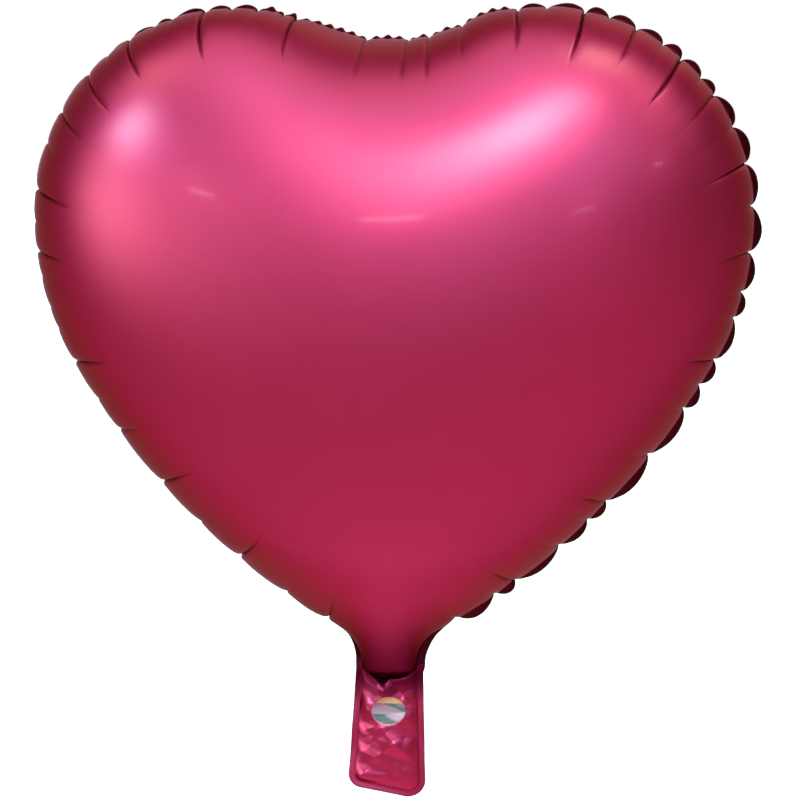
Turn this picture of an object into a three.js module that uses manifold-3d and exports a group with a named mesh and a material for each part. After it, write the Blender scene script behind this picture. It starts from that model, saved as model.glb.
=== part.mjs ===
// Heart-shaped foil balloon with a self-closing fill valve in its neck.
// Millimetres, +Z up, the front faces -Y and +X is to the viewer's right.
// The origin is the neck root, on the seam plane, where the neck folds and a ribbon is tied.
import * as THREE from 'three'
import { mergeVertices } from 'three/addons/utils/BufferGeometryUtils.js'
import Module from 'manifold-3d'

// Heart, along the seam line where the two panels meet
const heartHalfWidth = 188.5
const heartTop = 353
const lobeRadius = 107
const cleftRadius = 100
const flankRadius = 155
const flankTurn = THREE.MathUtils.degToRad(31)
const plumpness = 0.92 // gives 88 mm from the seam plane to the belly of each panel
const crownHeight = 212 // middle of each panel's rings

// Throat, where the heart narrows into the neck
const throatHalfWidth = 13
const throatRadius = 22
const tipRadius = 30
const tipCornerRadius = 4
const tipLift = 3.5 // lowest point of the gas envelope above the fold axis
const throatPinch = 0.55 // depth of the gathered throat, as a share of the free film's
const throatReach = 80 // height at which the film swells freely again

// Film, drawn thicker than the real 0.04 mm so that each layer is a solid
const panelWall = 0.8
const plyWall = 0.6
const valveWall = 0.3
const layerGap = 0.3
const plyRelief = 0.1 // further room between the valve and the front ply

// Welded margins
const sealThickness = 0.8
const heartSealWidth = 6.5
const neckSealWidth = 5
const finLean = THREE.MathUtils.degToRad(62) // how far the inflated fin leans to the back
const finFlatLength = 8 // length of margin at the throat that stays in the seam plane
const finLeanLength = 45 // length of margin over which the fin rises into that lean

// Neck
const neckLength = 59
const neckDrop = 1.2 // top edge of the neck below the fold axis
const neckEndHalfWidth = 21
const neckCornerRadius = 5
const neckPuff = 4.6
const neckPuffDepth = 14 // distance below the root where the front ply stands full

// Fill hole and valve
const fillHoleWidth = 18
const fillHoleHeight = 14.5
const fillHoleDrop = 15
const valveSideGap = 1.9 // between a valve edge and the neck's welded margin
const valveWeldWidth = 2
const valveMouthRise = 3 // front film's lower lip above the middle of the fill hole
const valveMouthArch = 2.6
const valveTail = 6 // back film below the bottom of the fill hole
const sleeveLift = 4.7 // hinge line of the sleeve's free part above the envelope's inner tip
const sleeveLength = 78
const coatThickness = 0.2
const tackWeldWidth = 2.2

const outlineSteps = { cleft: 5, lobe: 15, flank: 4, side: 9, throat: 5, corner: 2, tip: 2 }
const outerRings = 9
const innerRings = 6
const neckRows = 12
const neckColumns = 10
const holeSteps = 20
const mergeDistance = 1e-4

const wasm = await Module()
wasm.setup()

const crimsonFoil = { color: 0xa82850, roughness: 0.3, metalness: 0.85 }
const clearFilm = { color: 0xdfe3e6, roughness: 0.2, metalness: 0, transparent: true, opacity: 0.45 }
const orangeInk = { color: 0xe8862c, roughness: 0.6, metalness: 0 }

// A closed solid from points and triangles, turned so that its faces point out.
function solid(points, triangles) {
  const corner = (index) => points[index]
  const volume = triangles.reduce((sum, [a, b, c]) =>
    sum + corner(a).dot(new THREE.Vector3().crossVectors(corner(b), corner(c))), 0)
  const order = volume < 0 ? ([a, b, c]) => [a, c, b] : (triangle) => triangle
  const geometry = new THREE.BufferGeometry()
  geometry.setAttribute('position', new THREE.Float32BufferAttribute(points.flatMap((p) => p.toArray()), 3))
  geometry.setIndex(triangles.flatMap(order))
  return geometry
}

// Two triangles for each cell between two rows of point numbers.
function stitch(low, high, closed) {
  const cells = closed ? low.length : low.length - 1
  const triangles = []
  for (let i = 0; i < cells; i++) {
    const j = (i + 1) % low.length
    triangles.push([low[i], low[j], high[j]], [low[i], high[j], high[i]])
  }
  return triangles
}

function addRow(points, row) {
  const start = points.length
  points.push(...row)
  return row.map((_, i) => start + i)
}

// A plate between a front and a back grid of the same rows and columns.
function plate(frontRows, backRows) {
  const points = []
  const front = frontRows.map((row) => addRow(points, row))
  const back = backRows.map((row) => addRow(points, row))
  const triangles = []
  for (let i = 1; i < front.length; i++) {
    triangles.push(...stitch(front[i - 1], front[i], false))
    triangles.push(...stitch(back[i], back[i - 1], false))
  }
  const last = front.length - 1
  const firstColumn = (rows) => rows.map((row) => row[0])
  const lastColumn = (rows) => rows.map((row) => row[row.length - 1])
  triangles.push(...stitch(back[0], front[0], false))
  triangles.push(...stitch(front[last], back[last], false))
  triangles.push(...stitch(firstColumn(front), firstColumn(back), false))
  triangles.push(...stitch(lastColumn(back), lastColumn(front), false))
  return solid(points, triangles)
}

// A flat piece in the XZ plane from yFront to yBack.
function flatPiece(shape, yFront, yBack) {
  const settings = { depth: yBack - yFront, bevelEnabled: false, curveSegments: 6 }
  const geometry = new THREE.ExtrudeGeometry(shape, settings)
  return geometry.rotateX(Math.PI / 2).translate(0, yBack, 0)
}

function toManifold(geometry) {
  const bare = geometry.clone()
  bare.deleteAttribute('normal')
  bare.deleteAttribute('uv')
  const merged = mergeVertices(bare, mergeDistance)
  const vertProperties = new Float32Array(merged.attributes.position.array)
  const triVerts = new Uint32Array(merged.index.array)
  return new wasm.Manifold(new wasm.Mesh({ numProp: 3, vertProperties, triVerts }))
}

function fromManifold(body) {
  const mesh = body.getMesh()
  const geometry = new THREE.BufferGeometry()
  geometry.setAttribute('position', new THREE.BufferAttribute(new Float32Array(mesh.vertProperties), 3))
  geometry.setIndex(new THREE.BufferAttribute(new Uint32Array(mesh.triVerts), 1))
  return geometry
}

function cut(geometry, cutter) {
  return fromManifold(toManifold(geometry).subtract(toManifold(cutter)))
}

// Points of an arc and its outward normals, its last point left to the next arc.
// On a hollow arc the outward normal points to the arc's own centre.
function arc(centre, radius, fromAngle, toAngle, steps, hollow = false) {
  return Array.from({ length: steps }, (_, i) => {
    const angle = fromAngle + (toAngle - fromAngle) * i / steps
    const normal = new THREE.Vector2(Math.cos(angle), Math.sin(angle))
    const point = normal.clone().multiplyScalar(radius).add(centre)
    return { point, normal: hollow ? normal.clone().negate() : normal }
  })
}

// Right half of the heart in tangent arcs, clockwise from the cleft to the tip.
function heartHalf() {
  const lobeCentre = new THREE.Vector2(heartHalfWidth - lobeRadius, heartTop - lobeRadius)
  const reach = lobeRadius + cleftRadius
  const cleftTurn = Math.asin(lobeCentre.x / reach)
  const cleftCentre = new THREE.Vector2(0, lobeCentre.y + reach * Math.cos(cleftTurn))
  const flankCentre = new THREE.Vector2(heartHalfWidth - flankRadius, lobeCentre.y)

  // The tip is a shallow arc, rounded into the two upright throat lines.
  const tipCentre = new THREE.Vector2(0, tipLift + tipRadius)
  const cornerX = throatHalfWidth - tipCornerRadius
  const cornerDrop = Math.sqrt((tipRadius - tipCornerRadius) ** 2 - cornerX ** 2)
  const throatZ = tipCentre.y - cornerDrop
  const cornerTurn = Math.atan2(-cornerDrop, cornerX)

  // One long arc leaves the flank arc and runs tangent into the throat's hollow arc.
  const flankNormal = new THREE.Vector2(Math.cos(flankTurn), -Math.sin(flankTurn))
  const flankEnd = flankNormal.clone().multiplyScalar(flankRadius).add(flankCentre)
  const throatCentre = new THREE.Vector2(throatHalfWidth + throatRadius, throatZ)
  const span = flankEnd.clone().sub(throatCentre)
  const sideRadius = (span.lengthSq() - throatRadius ** 2) / (2 * (span.dot(flankNormal) + throatRadius))
  const sideCentre = flankEnd.clone().addScaledVector(flankNormal, -sideRadius)
  const toThroat = throatCentre.clone().sub(sideCentre)
  const sideTurn = Math.atan2(toThroat.y, toThroat.x)

  const steps = outlineSteps
  return {
    throatZ,
    rim: [
      ...arc(cleftCentre, cleftRadius, -Math.PI / 2, -Math.PI / 2 + cleftTurn, steps.cleft, true),
      ...arc(lobeCentre, lobeRadius, Math.PI / 2 + cleftTurn, 0, steps.lobe),
      ...arc(flankCentre, flankRadius, 0, -flankTurn, steps.flank),
      ...arc(sideCentre, sideRadius, -flankTurn, sideTurn, steps.side),
      ...arc(throatCentre, throatRadius, Math.PI + sideTurn, Math.PI, steps.throat, true),
    ],
    tip: [
      ...arc(new THREE.Vector2(cornerX, throatZ), tipCornerRadius, 0, cornerTurn, steps.corner),
      ...arc(tipCentre, tipRadius, cornerTurn, -Math.PI / 2, steps.tip),
      { point: new THREE.Vector2(0, tipLift), normal: new THREE.Vector2(0, -1) },
    ],
  }
}

const mirrored = ({ point, normal }) => ({
  point: new THREE.Vector2(-point.x, point.y),
  normal: new THREE.Vector2(-normal.x, normal.y),
})

const half = heartHalf()
const rightSide = [...half.rim, ...half.tip]
const outline = [...rightSide, ...rightSide.slice(1, -1).reverse().map(mirrored)]

// Height of the inflated film over the seam plane: the square root of two sums over the outline's
// edges, one that grows like the distance to the rim and one that measures the room around the
// point, so the film leaves the rim square to the plane and is roundest where the heart is widest.
function pillowHeight(point) {
  let nearness = 0
  let room = 0
  for (let i = 0; i < outline.length; i++) {
    const a = outline[i].point.clone().sub(point)
    const b = outline[(i + 1) % outline.length].point.clone().sub(point)
    const turn = Math.atan2(a.cross(b), a.dot(b))
    nearness += (1 / a.length() + 1 / b.length()) * Math.tan(turn / 2)
    const edge = b.clone().sub(a)
    const length = edge.length()
    const away = a.cross(b) / length
    if (Math.abs(away) > 1e-6) {
      room += away * (Math.asinh(b.dot(edge) / length / away) - Math.asinh(a.dot(edge) / length / away))
    }
  }
  const gathered = THREE.MathUtils.smoothstep(point.y, tipLift, throatReach)
  const freedom = THREE.MathUtils.lerp(throatPinch, 1, gathered)
  return plumpness * freedom * Math.sqrt(Math.abs((2 / nearness) * (room / (2 * Math.PI))))
}

// One domed panel. side is -1 for the front and 1 for the back.
function panel(side) {
  const middle = new THREE.Vector2(0, crownHeight)
  const rimY = side * layerGap / 2
  const ringAt = (share) => outline.map(({ point }) => {
    const place = point.clone().sub(middle).multiplyScalar(share).add(middle)
    const height = share === 1 ? 0 : pillowHeight(place)
    return new THREE.Vector3(place.x, rimY + side * height, place.y)
  })
  const rings = (count) =>
    Array.from({ length: count }, (_, i) => ringAt(Math.cos(Math.PI / 2 * i / count)))
  const crown = new THREE.Vector3(middle.x, rimY + side * pillowHeight(middle), middle.y)

  // The inner skin is the outer one moved in by the wall, square to the surface.
  const inward = (ring, i, next) => {
    const along = ring[(i + 1) % ring.length].clone().sub(ring[(i + ring.length - 1) % ring.length])
    const across = next.clone().sub(ring[i])
    return along.cross(across).normalize()
  }
  const moved = (rows) => rows.map((ring, r) => ring.map((place, i) => {
    if (r === 0) {
      const { normal } = outline[i]
      return new THREE.Vector3(place.x - panelWall * normal.x, place.y, place.z - panelWall * normal.y)
    }
    const next = r + 1 < rows.length ? rows[r + 1][i] : crown
    const direction = inward(ring, i, next)
    const towardsPlane = direction.y * side > 0 ? direction.negate() : direction
    return place.clone().addScaledVector(towardsPlane, panelWall)
  }))

  const points = []
  const outer = rings(outerRings).map((row) => addRow(points, row))
  const inner = moved(rings(innerRings)).map((row) => addRow(points, row))
  const [crownOut, crownIn] = addRow(points, [crown, crown.clone().setY(crown.y - side * panelWall)])
  const triangles = stitch(inner[0], outer[0], true)
  const cover = (rows, apex, flip) => {
    const faces = rows.slice(1).flatMap((row, i) => stitch(rows[i], row, true))
    const last = rows[rows.length - 1]
    faces.push(...last.map((index, i) => [index, last[(i + 1) % last.length], apex]))
    triangles.push(...(flip ? faces.map(([a, b, c]) => [a, c, b]) : faces))
  }
  cover(outer, crownOut, false)
  cover(inner, crownIn, true)
  return solid(points, triangles)
}

// The welded margin: a flat band that leaves the throat in the seam plane and leans to the back
// round the rest of the heart, in one piece from throat to throat.
function perimeterSeal() {
  const outward = new THREE.Vector2(1, 0)
  const tail = { point: new THREE.Vector2(throatHalfWidth, neckDrop + layerGap), normal: outward }
  const throatEnd = { point: new THREE.Vector2(throatHalfWidth, half.throatZ), normal: outward }
  const right = [...half.rim, throatEnd, tail].reverse()
  const line = [...right, ...right.slice(0, -1).reverse().map(mirrored)]
  const run = [0]
  for (let i = 1; i < line.length; i++) run.push(run[i - 1] + line[i].point.distanceTo(line[i - 1].point))
  const total = run[run.length - 1]
  const front = []
  const back = []
  line.forEach(({ point, normal }, i) => {
    const rise = THREE.MathUtils.smoothstep(Math.min(run[i], total - run[i]), finFlatLength, finLeanLength)
    const lean = finLean * rise
    const width = THREE.MathUtils.lerp(neckSealWidth, heartSealWidth, rise)
    const out = new THREE.Vector3(normal.x * Math.cos(lean), Math.sin(lean), normal.y * Math.cos(lean))
    const thick = new THREE.Vector3(-normal.x * Math.sin(lean), Math.cos(lean), -normal.y * Math.sin(lean))
    const foot = new THREE.Vector3(point.x, 0, point.y)
    foot.x += normal.x * (layerGap + sealThickness / 2 * Math.sin(lean))
    foot.z += normal.y * (layerGap + sealThickness / 2 * Math.sin(lean))
    const edge = foot.clone().addScaledVector(out, width)
    front.push([foot, edge].map((p) => p.clone().addScaledVector(thick, -sealThickness / 2)))
    back.push([foot, edge].map((p) => p.clone().addScaledVector(thick, sealThickness / 2)))
  })
  return plate(front, back)
}

// Neck edges. The outer edge flares from the root to the end; the inner edge is the weld line.
const neckRootHalfWidth = throatHalfWidth + neckSealWidth
const outerEdge = (z) => THREE.MathUtils.lerp(neckRootHalfWidth, neckEndHalfWidth, -z / neckLength)
const innerEdge = (z) => outerEdge(z) - neckSealWidth
const plyBottom = -neckLength + neckSealWidth + layerGap
const holeBottom = -fillHoleDrop - fillHoleHeight / 2

// U-shaped weld of the neck's two plies, open at the root.
function neckSeal() {
  const shape = new THREE.Shape()
  const weldBottom = -neckLength + neckSealWidth
  shape.moveTo(-outerEdge(-neckDrop), -neckDrop)
  shape.lineTo(-outerEdge(neckCornerRadius - neckLength), neckCornerRadius - neckLength)
  shape.quadraticCurveTo(-neckEndHalfWidth, -neckLength, neckCornerRadius - neckEndHalfWidth, -neckLength)
  shape.lineTo(neckEndHalfWidth - neckCornerRadius, -neckLength)
  shape.quadraticCurveTo(neckEndHalfWidth, -neckLength, outerEdge(neckCornerRadius - neckLength),
    neckCornerRadius - neckLength)
  shape.lineTo(outerEdge(-neckDrop), -neckDrop)
  shape.lineTo(innerEdge(-neckDrop), -neckDrop)
  shape.lineTo(innerEdge(weldBottom), weldBottom)
  shape.lineTo(-innerEdge(weldBottom), weldBottom)
  shape.lineTo(-innerEdge(-neckDrop), -neckDrop)
  return flatPiece(shape, -sealThickness / 2, sealThickness / 2)
}

// Layers of the neck behind the seam plane: back film, gap, back ply.
const backFilmFront = coatThickness + layerGap
const backPlyFront = backFilmFront + valveWall + layerGap

function neckBackPly() {
  const shape = new THREE.Shape()
  const topHalf = innerEdge(-neckDrop) - layerGap
  const endHalf = innerEdge(plyBottom) - layerGap
  shape.moveTo(-topHalf, -neckDrop)
  shape.lineTo(-endHalf, plyBottom)
  shape.lineTo(endHalf, plyBottom)
  shape.lineTo(topHalf, -neckDrop)
  return flatPiece(shape, backPlyFront, backPlyFront + plyWall)
}

// Swell of the neck's front layers at a place across and along the neck: none at the welded
// edges, the root and the bottom weld, and full in the middle from puffDepth down.
function swell(x, z, halfWidth) {
  const across = 1 - (x / halfWidth) ** 2
  const fromRoot = THREE.MathUtils.smoothstep(-z, neckDrop, neckPuffDepth)
  const fromEnd = THREE.MathUtils.smoothstep(z - plyBottom, 0, neckPuffDepth / 2)
  return Math.max(across, 0) * fromRoot * fromEnd
}

// A curved layer in front of the seam plane: rows down the neck, columns across it.
function frontLayer(top, bottom, halfWidthAt, yAt, wall) {
  const front = []
  const back = []
  for (let i = 0; i <= neckRows; i++) {
    const z = THREE.MathUtils.lerp(top, bottom, i / neckRows)
    const halfWidth = halfWidthAt(z)
    const place = (j, offset) => {
      const x = THREE.MathUtils.lerp(-halfWidth, halfWidth, j / neckColumns)
      return new THREE.Vector3(x, yAt(x, z, halfWidth) - offset, z)
    }
    const columns = Array.from({ length: neckColumns + 1 }, (_, j) => j)
    back.push(columns.map((j) => place(j, 0)))
    front.push(columns.map((j) => place(j, wall)))
  }
  return plate(front, back)
}

const frontFilmBack = -layerGap - coatThickness / 2
const frontPlyBack = frontFilmBack - valveWall - layerGap - plyRelief
const holeCutDepth = neckPuff + plyWall - 2 * frontPlyBack

function oval(width, height) {
  const shape = new THREE.Shape()
  shape.absellipse(0, -fillHoleDrop, width / 2, height / 2, 0, Math.PI * 2)
  return new THREE.Shape(shape.getPoints(holeSteps).slice(0, -1))
}

function neckFrontPly() {
  const halfWidthAt = (z) => innerEdge(z) - layerGap
  const yAt = (x, z, halfWidth) => frontPlyBack - neckPuff * swell(x, z, halfWidth)
  const ply = frontLayer(-neckDrop, plyBottom, halfWidthAt, yAt, plyWall)
  const hole = flatPiece(oval(fillHoleWidth, fillHoleHeight), -holeCutDepth, 0)
  return cut(ply, hole)
}

// Valve sleeve: its outer half width clears the neck's welds, and its two films are welded
// down both edges.
const valveHalfWidth = throatHalfWidth - valveSideGap
const filmHalfWidth = valveHalfWidth - valveWeldWidth - layerGap
const mouthZ = -fillHoleDrop + valveMouthRise
const valveEndZ = holeBottom - valveTail

function rectangle(xLow, xHigh, zLow, zHigh) {
  const shape = new THREE.Shape()
  shape.moveTo(xLow, zLow)
  shape.lineTo(xHigh, zLow)
  shape.lineTo(xHigh, zHigh)
  shape.lineTo(xLow, zHigh)
  return shape
}

// The lower front film ends in an arched lip across the fill hole, which is the valve's mouth.
function neckValveFrontFilm() {
  const yAt = (x, z, halfWidth) => {
    const open = THREE.MathUtils.smoothstep(-z, neckDrop, -mouthZ)
    return frontFilmBack - valveMouthArch * open * (1 - (x / halfWidth) ** 2)
  }
  return frontLayer(-neckDrop, mouthZ, () => filmHalfWidth, yAt, valveWall)
}

function neckValveBackFilm() {
  const shape = rectangle(-filmHalfWidth, filmHalfWidth, valveEndZ, -neckDrop)
  return flatPiece(shape, backFilmFront, backFilmFront + valveWall)
}

function valveWeld(side, zLow, zHigh) {
  const inner = side * (filmHalfWidth + layerGap)
  const outer = side * valveHalfWidth
  const shape = rectangle(Math.min(inner, outer), Math.max(inner, outer), zLow, zHigh)
  return flatPiece(shape, -valveWall, valveWall)
}

// Heat-resistant ink that keeps the sleeve from being welded shut where it passes the heart's weld.
// It reaches from the root down to the valve's mouth.
function releaseCoat() {
  const shape = rectangle(-filmHalfWidth, filmHalfWidth, mouthZ, -neckDrop)
  return flatPiece(shape, 0, coatThickness)
}

// The sleeve's free part flaps inside the envelope.
const sleeveStart = tipLift + panelWall + sleeveLift

function sleeveFilm(side) {
  const shape = rectangle(-filmHalfWidth, filmHalfWidth, sleeveStart, sleeveStart + sleeveLength)
  const near = side * layerGap / 2
  const far = near + side * valveWall
  return flatPiece(shape, Math.min(near, far), Math.max(near, far))
}

// Weld that fixes the valve's back film to the back ply below the fill hole.
function tackWeld() {
  const low = valveEndZ - layerGap - tackWeldWidth
  const shape = rectangle(-filmHalfWidth, filmHalfWidth, low, valveEndZ - layerGap)
  return flatPiece(shape, backFilmFront, backFilmFront + valveWall)
}

const heart = new THREE.Group()

function add(name, geometry, look) {
  const mesh = new THREE.Mesh(geometry, new THREE.MeshStandardMaterial(look))
  mesh.name = name
  heart.add(mesh)
}

add('front_panel', panel(-1), crimsonFoil)
add('back_panel', panel(1), crimsonFoil)
add('perimeter_seal', perimeterSeal(), crimsonFoil)
add('neck_front_ply', neckFrontPly(), crimsonFoil)
add('neck_back_ply', neckBackPly(), crimsonFoil)
add('neck_edge_seal', neckSeal(), crimsonFoil)
add('valve_front_film', neckValveFrontFilm(), clearFilm)
add('valve_back_film', neckValveBackFilm(), clearFilm)
add('valve_weld_left', valveWeld(-1, mouthZ, -neckDrop), clearFilm)
add('valve_weld_right', valveWeld(1, mouthZ, -neckDrop), clearFilm)
add('valve_release_coat', releaseCoat(), orangeInk)
add('valve_tack_weld', tackWeld(), clearFilm)
add('sleeve_front_film', sleeveFilm(-1), clearFilm)
add('sleeve_back_film', sleeveFilm(1), clearFilm)
add('sleeve_weld_left', valveWeld(-1, sleeveStart, sleeveStart + sleeveLength), clearFilm)
add('sleeve_weld_right', valveWeld(1, sleeveStart, sleeveStart + sleeveLength), clearFilm)

export default heart
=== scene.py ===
import math
import bpy
import numpy as np
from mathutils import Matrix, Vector


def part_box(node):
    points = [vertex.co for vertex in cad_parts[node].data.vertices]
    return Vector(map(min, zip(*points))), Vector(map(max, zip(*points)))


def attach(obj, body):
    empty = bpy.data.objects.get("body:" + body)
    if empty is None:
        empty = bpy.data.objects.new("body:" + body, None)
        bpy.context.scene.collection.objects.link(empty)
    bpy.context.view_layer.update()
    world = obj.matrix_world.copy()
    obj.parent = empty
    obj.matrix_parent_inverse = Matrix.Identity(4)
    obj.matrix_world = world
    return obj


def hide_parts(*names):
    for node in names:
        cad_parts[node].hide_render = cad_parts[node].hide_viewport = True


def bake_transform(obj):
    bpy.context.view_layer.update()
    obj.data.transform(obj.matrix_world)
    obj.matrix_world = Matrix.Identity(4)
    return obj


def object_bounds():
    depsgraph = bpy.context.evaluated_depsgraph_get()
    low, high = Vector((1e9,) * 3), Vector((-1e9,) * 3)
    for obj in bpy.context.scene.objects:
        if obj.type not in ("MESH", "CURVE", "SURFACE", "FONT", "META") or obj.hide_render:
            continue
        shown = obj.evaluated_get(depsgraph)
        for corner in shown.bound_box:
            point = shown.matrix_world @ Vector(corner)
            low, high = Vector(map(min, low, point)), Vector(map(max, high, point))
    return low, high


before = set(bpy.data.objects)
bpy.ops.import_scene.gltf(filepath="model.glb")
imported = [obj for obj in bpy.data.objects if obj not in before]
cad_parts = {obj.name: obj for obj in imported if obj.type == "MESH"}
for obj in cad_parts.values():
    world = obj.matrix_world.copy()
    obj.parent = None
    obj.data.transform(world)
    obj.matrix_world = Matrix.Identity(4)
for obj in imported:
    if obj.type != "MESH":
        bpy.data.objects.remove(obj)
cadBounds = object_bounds()
print("frame loaded:", len(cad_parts), "nodes")

mm = 0.001
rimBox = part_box("front_panel")
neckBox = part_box("neck_edge_seal")
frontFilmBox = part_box("valve_front_film")
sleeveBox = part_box("sleeve_front_film")

# The heart's seam line in tangent arcs. Its width, its top and its tip come from the frame.
heart = {
    "lobeRadius": 107 * mm, "cleftRadius": 100 * mm, "flankRadius": 155 * mm,
    "flankTurn": math.radians(31), "throatHalfWidth": 13 * mm, "throatRadius": 22 * mm,
    "tipRadius": 30 * mm, "tipCornerRadius": 4 * mm, "plumpness": 0.92,
    "throatPinch": 0.55, "throatReach": 80 * mm, "crownHeight": 212 * mm,
    "kneeShare": 0.42, "kneeReach": 50 * mm, "narrowRoom": 2 * mm, "narrowShare": 0.35,
    "narrowLow": 20 * mm, "narrowHigh": 210 * mm,
    "columns": 980, "rings": 46, "heightEdges": 260, "filmThickness": 0.25 * mm,
    # Painted shade at the heart's tip near the neck's root: its level, its run and how dark it gets at most.
    "gathered": (2 * mm, 50 * mm, 0.9), "flatSize": (457 * mm, 430 * mm), "flatArea": 0.150,
}

# Creases: place along the seam from the cleft (right side positive), reach over the panel and depth
# in millimetres, and the way they run in degrees, 0 to the right and 90 up.
creases = [
    (10, 20, 1.0, -78), (21, 22, 1.1, -70), (39, 15, 0.8, -67), (69, 21, 1.6, -66), (104, 26, 2.1, -83),
    (132, 16, 1.4, -96), (160, 25, 2.2, -105), (185, 14, 1.5, -115), (224, 20, 1.9, -144),
    (270, 13, 1.6, -162), (329, 12, 1.7, 176), (422, 11, 1.7, 156), (486, 11, 1.6, 148),
    (-12, 18, 0.9, -87), (-51, 20, 1.6, -95), (-100, 27, 2.2, -81), (-143, 23, 2.1, -60),
    (-171, 25, 2.0, -50), (-195, 22, 2.0, -42), (-213, 10, 1.1, -38), (-238, 27, 2.3, -23),
    (-271, 23, 2.1, -14), (-333, 25, 2.1, 0), (-376, 17, 1.2, 4), (-412, 24, 1.9, 12),
    (-469, 22, 1.9, 20), (-526, 16, 1.5, 28),
]
# Notches of the seam that leave no crease on the panel: place and depth in millimetres.
notches = [
    (84, 0.9), (117, 0.9), (148, 1.1), (174, 1.1), (204, 1.2), (246, 1.3), (291, 1.3), (305, 1.1),
    (344, 1.0), (359, 1.3), (389, 1.5), (436, 1.1), (456, 1.4), (499, 1.1), (523, 1.2), (-58, 0.7),
    (-72, 1.0), (-86, 0.8), (-118, 0.8), (-128, 0.9), (-157, 1.1), (-255, 1.2), (-284, 1.1),
    (-301, 1.1), (-313, 0.9), (-356, 1.2), (-441, 1.2), (-500, 1.1),
]
gather = {
    "valleyWidth": 0.6 * mm, "tuckWidth": 1.3 * mm, "ridge": 0.10, "ridgeOffset": 2.0 * mm,
    "ridgeWidth": 1.3 * mm, "notchReach": 3 * mm, "billow": 1.9 * mm, "billowSpan": 26 * mm,
    "billowFade": 15 * mm, "clusterWidth": 1.8 * mm, "creaseCluster": 7, "notchCluster": 2.6,
    # Painted shade in the creases' valleys: how dark, how wide, and the depth that gives the most.
    "shade": 0.75, "shadeWidth": 0.85 * mm, "shadeDepth": 2 * mm,
}


def tangentArcs(spec, halfWidth, top, tipLift):
    # Right half of the seam line from the cleft to the tip, each arc a row of centre x, centre z,
    # radius, start angle, end angle and 1 for a round or -1 for a hollow arc.
    lobe = np.array([halfWidth - spec["lobeRadius"], top - spec["lobeRadius"]])
    reach = spec["lobeRadius"] + spec["cleftRadius"]
    cleftTurn = math.asin(lobe[0] / reach)
    cleft = np.array([0, lobe[1] + reach * math.cos(cleftTurn)])
    flank = np.array([halfWidth - spec["flankRadius"], lobe[1]])
    cornerX = spec["throatHalfWidth"] - spec["tipCornerRadius"]
    cornerDrop = math.sqrt((spec["tipRadius"] - spec["tipCornerRadius"]) ** 2 - cornerX ** 2)
    throatZ = tipLift + spec["tipRadius"] - cornerDrop
    flankNormal = np.array([math.cos(spec["flankTurn"]), -math.sin(spec["flankTurn"])])
    flankEnd = flank + spec["flankRadius"] * flankNormal
    throat = np.array([spec["throatHalfWidth"] + spec["throatRadius"], throatZ])
    span = flankEnd - throat
    sideRadius = (span @ span - spec["throatRadius"] ** 2) / (2 * (span @ flankNormal + spec["throatRadius"]))
    side = flankEnd - sideRadius * flankNormal
    sideTurn = math.atan2(throat[1] - side[1], throat[0] - side[0])
    cornerTurn = math.atan2(-cornerDrop, cornerX)
    quarter = math.pi / 2
    return throatZ, np.array([
        [*cleft, spec["cleftRadius"], -quarter, cleftTurn - quarter, -1],
        [*lobe, spec["lobeRadius"], quarter + cleftTurn, 0, 1],
        [*flank, spec["flankRadius"], 0, -spec["flankTurn"], 1],
        [*side, sideRadius, -spec["flankTurn"], sideTurn, 1],
        [*throat, spec["throatRadius"], math.pi + sideTurn, math.pi, -1],
        [cornerX, throatZ, spec["tipCornerRadius"], 0, cornerTurn, 1],
        [0, tipLift + spec["tipRadius"], spec["tipRadius"], cornerTurn, -quarter, 1],
    ])


throatZ, arcs = tangentArcs(heart, rimBox[1].x, rimBox[1].z, rimBox[0].z)
arcLengths = np.abs(arcs[:, 4] - arcs[:, 3]) * arcs[:, 2]
arcEnds = np.cumsum(arcLengths)
throatPlace = arcEnds[4]  # where the seam's last hollow arc reaches the neck
halfSeam = arcEnds[-1]
seamLength = 2 * halfSeam


def seamAt(place):
    # Points and outward normals of the seam line at distances from the cleft, clockwise seen from
    # the front; the left half mirrors the right one.
    place = np.mod(place, seamLength)
    mirror = np.where(place > halfSeam, -1.0, 1.0)
    along = np.minimum(np.where(place > halfSeam, seamLength - place, place), halfSeam * (1 - 1e-9))
    row = np.minimum(np.searchsorted(arcEnds, along), len(arcs) - 1)
    centreX, centreZ, radius, start, end, hollow = arcs[row].T
    turn = start + (end - start) * (along - arcEnds[row] + arcLengths[row]) / arcLengths[row]
    out = np.stack([np.cos(turn), np.sin(turn)], -1)
    point = np.stack([centreX, centreZ], -1) + radius[:, None] * out
    out = out * hollow[:, None]
    point[:, 0] *= mirror
    out[:, 0] *= mirror
    return point, out


def smooth(value, low, high):
    # The usual smooth step: 0 below low, 1 above high.
    t = np.clip((value - low) / (high - low), 0, 1)
    return t * t * (3 - 2 * t)


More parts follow.
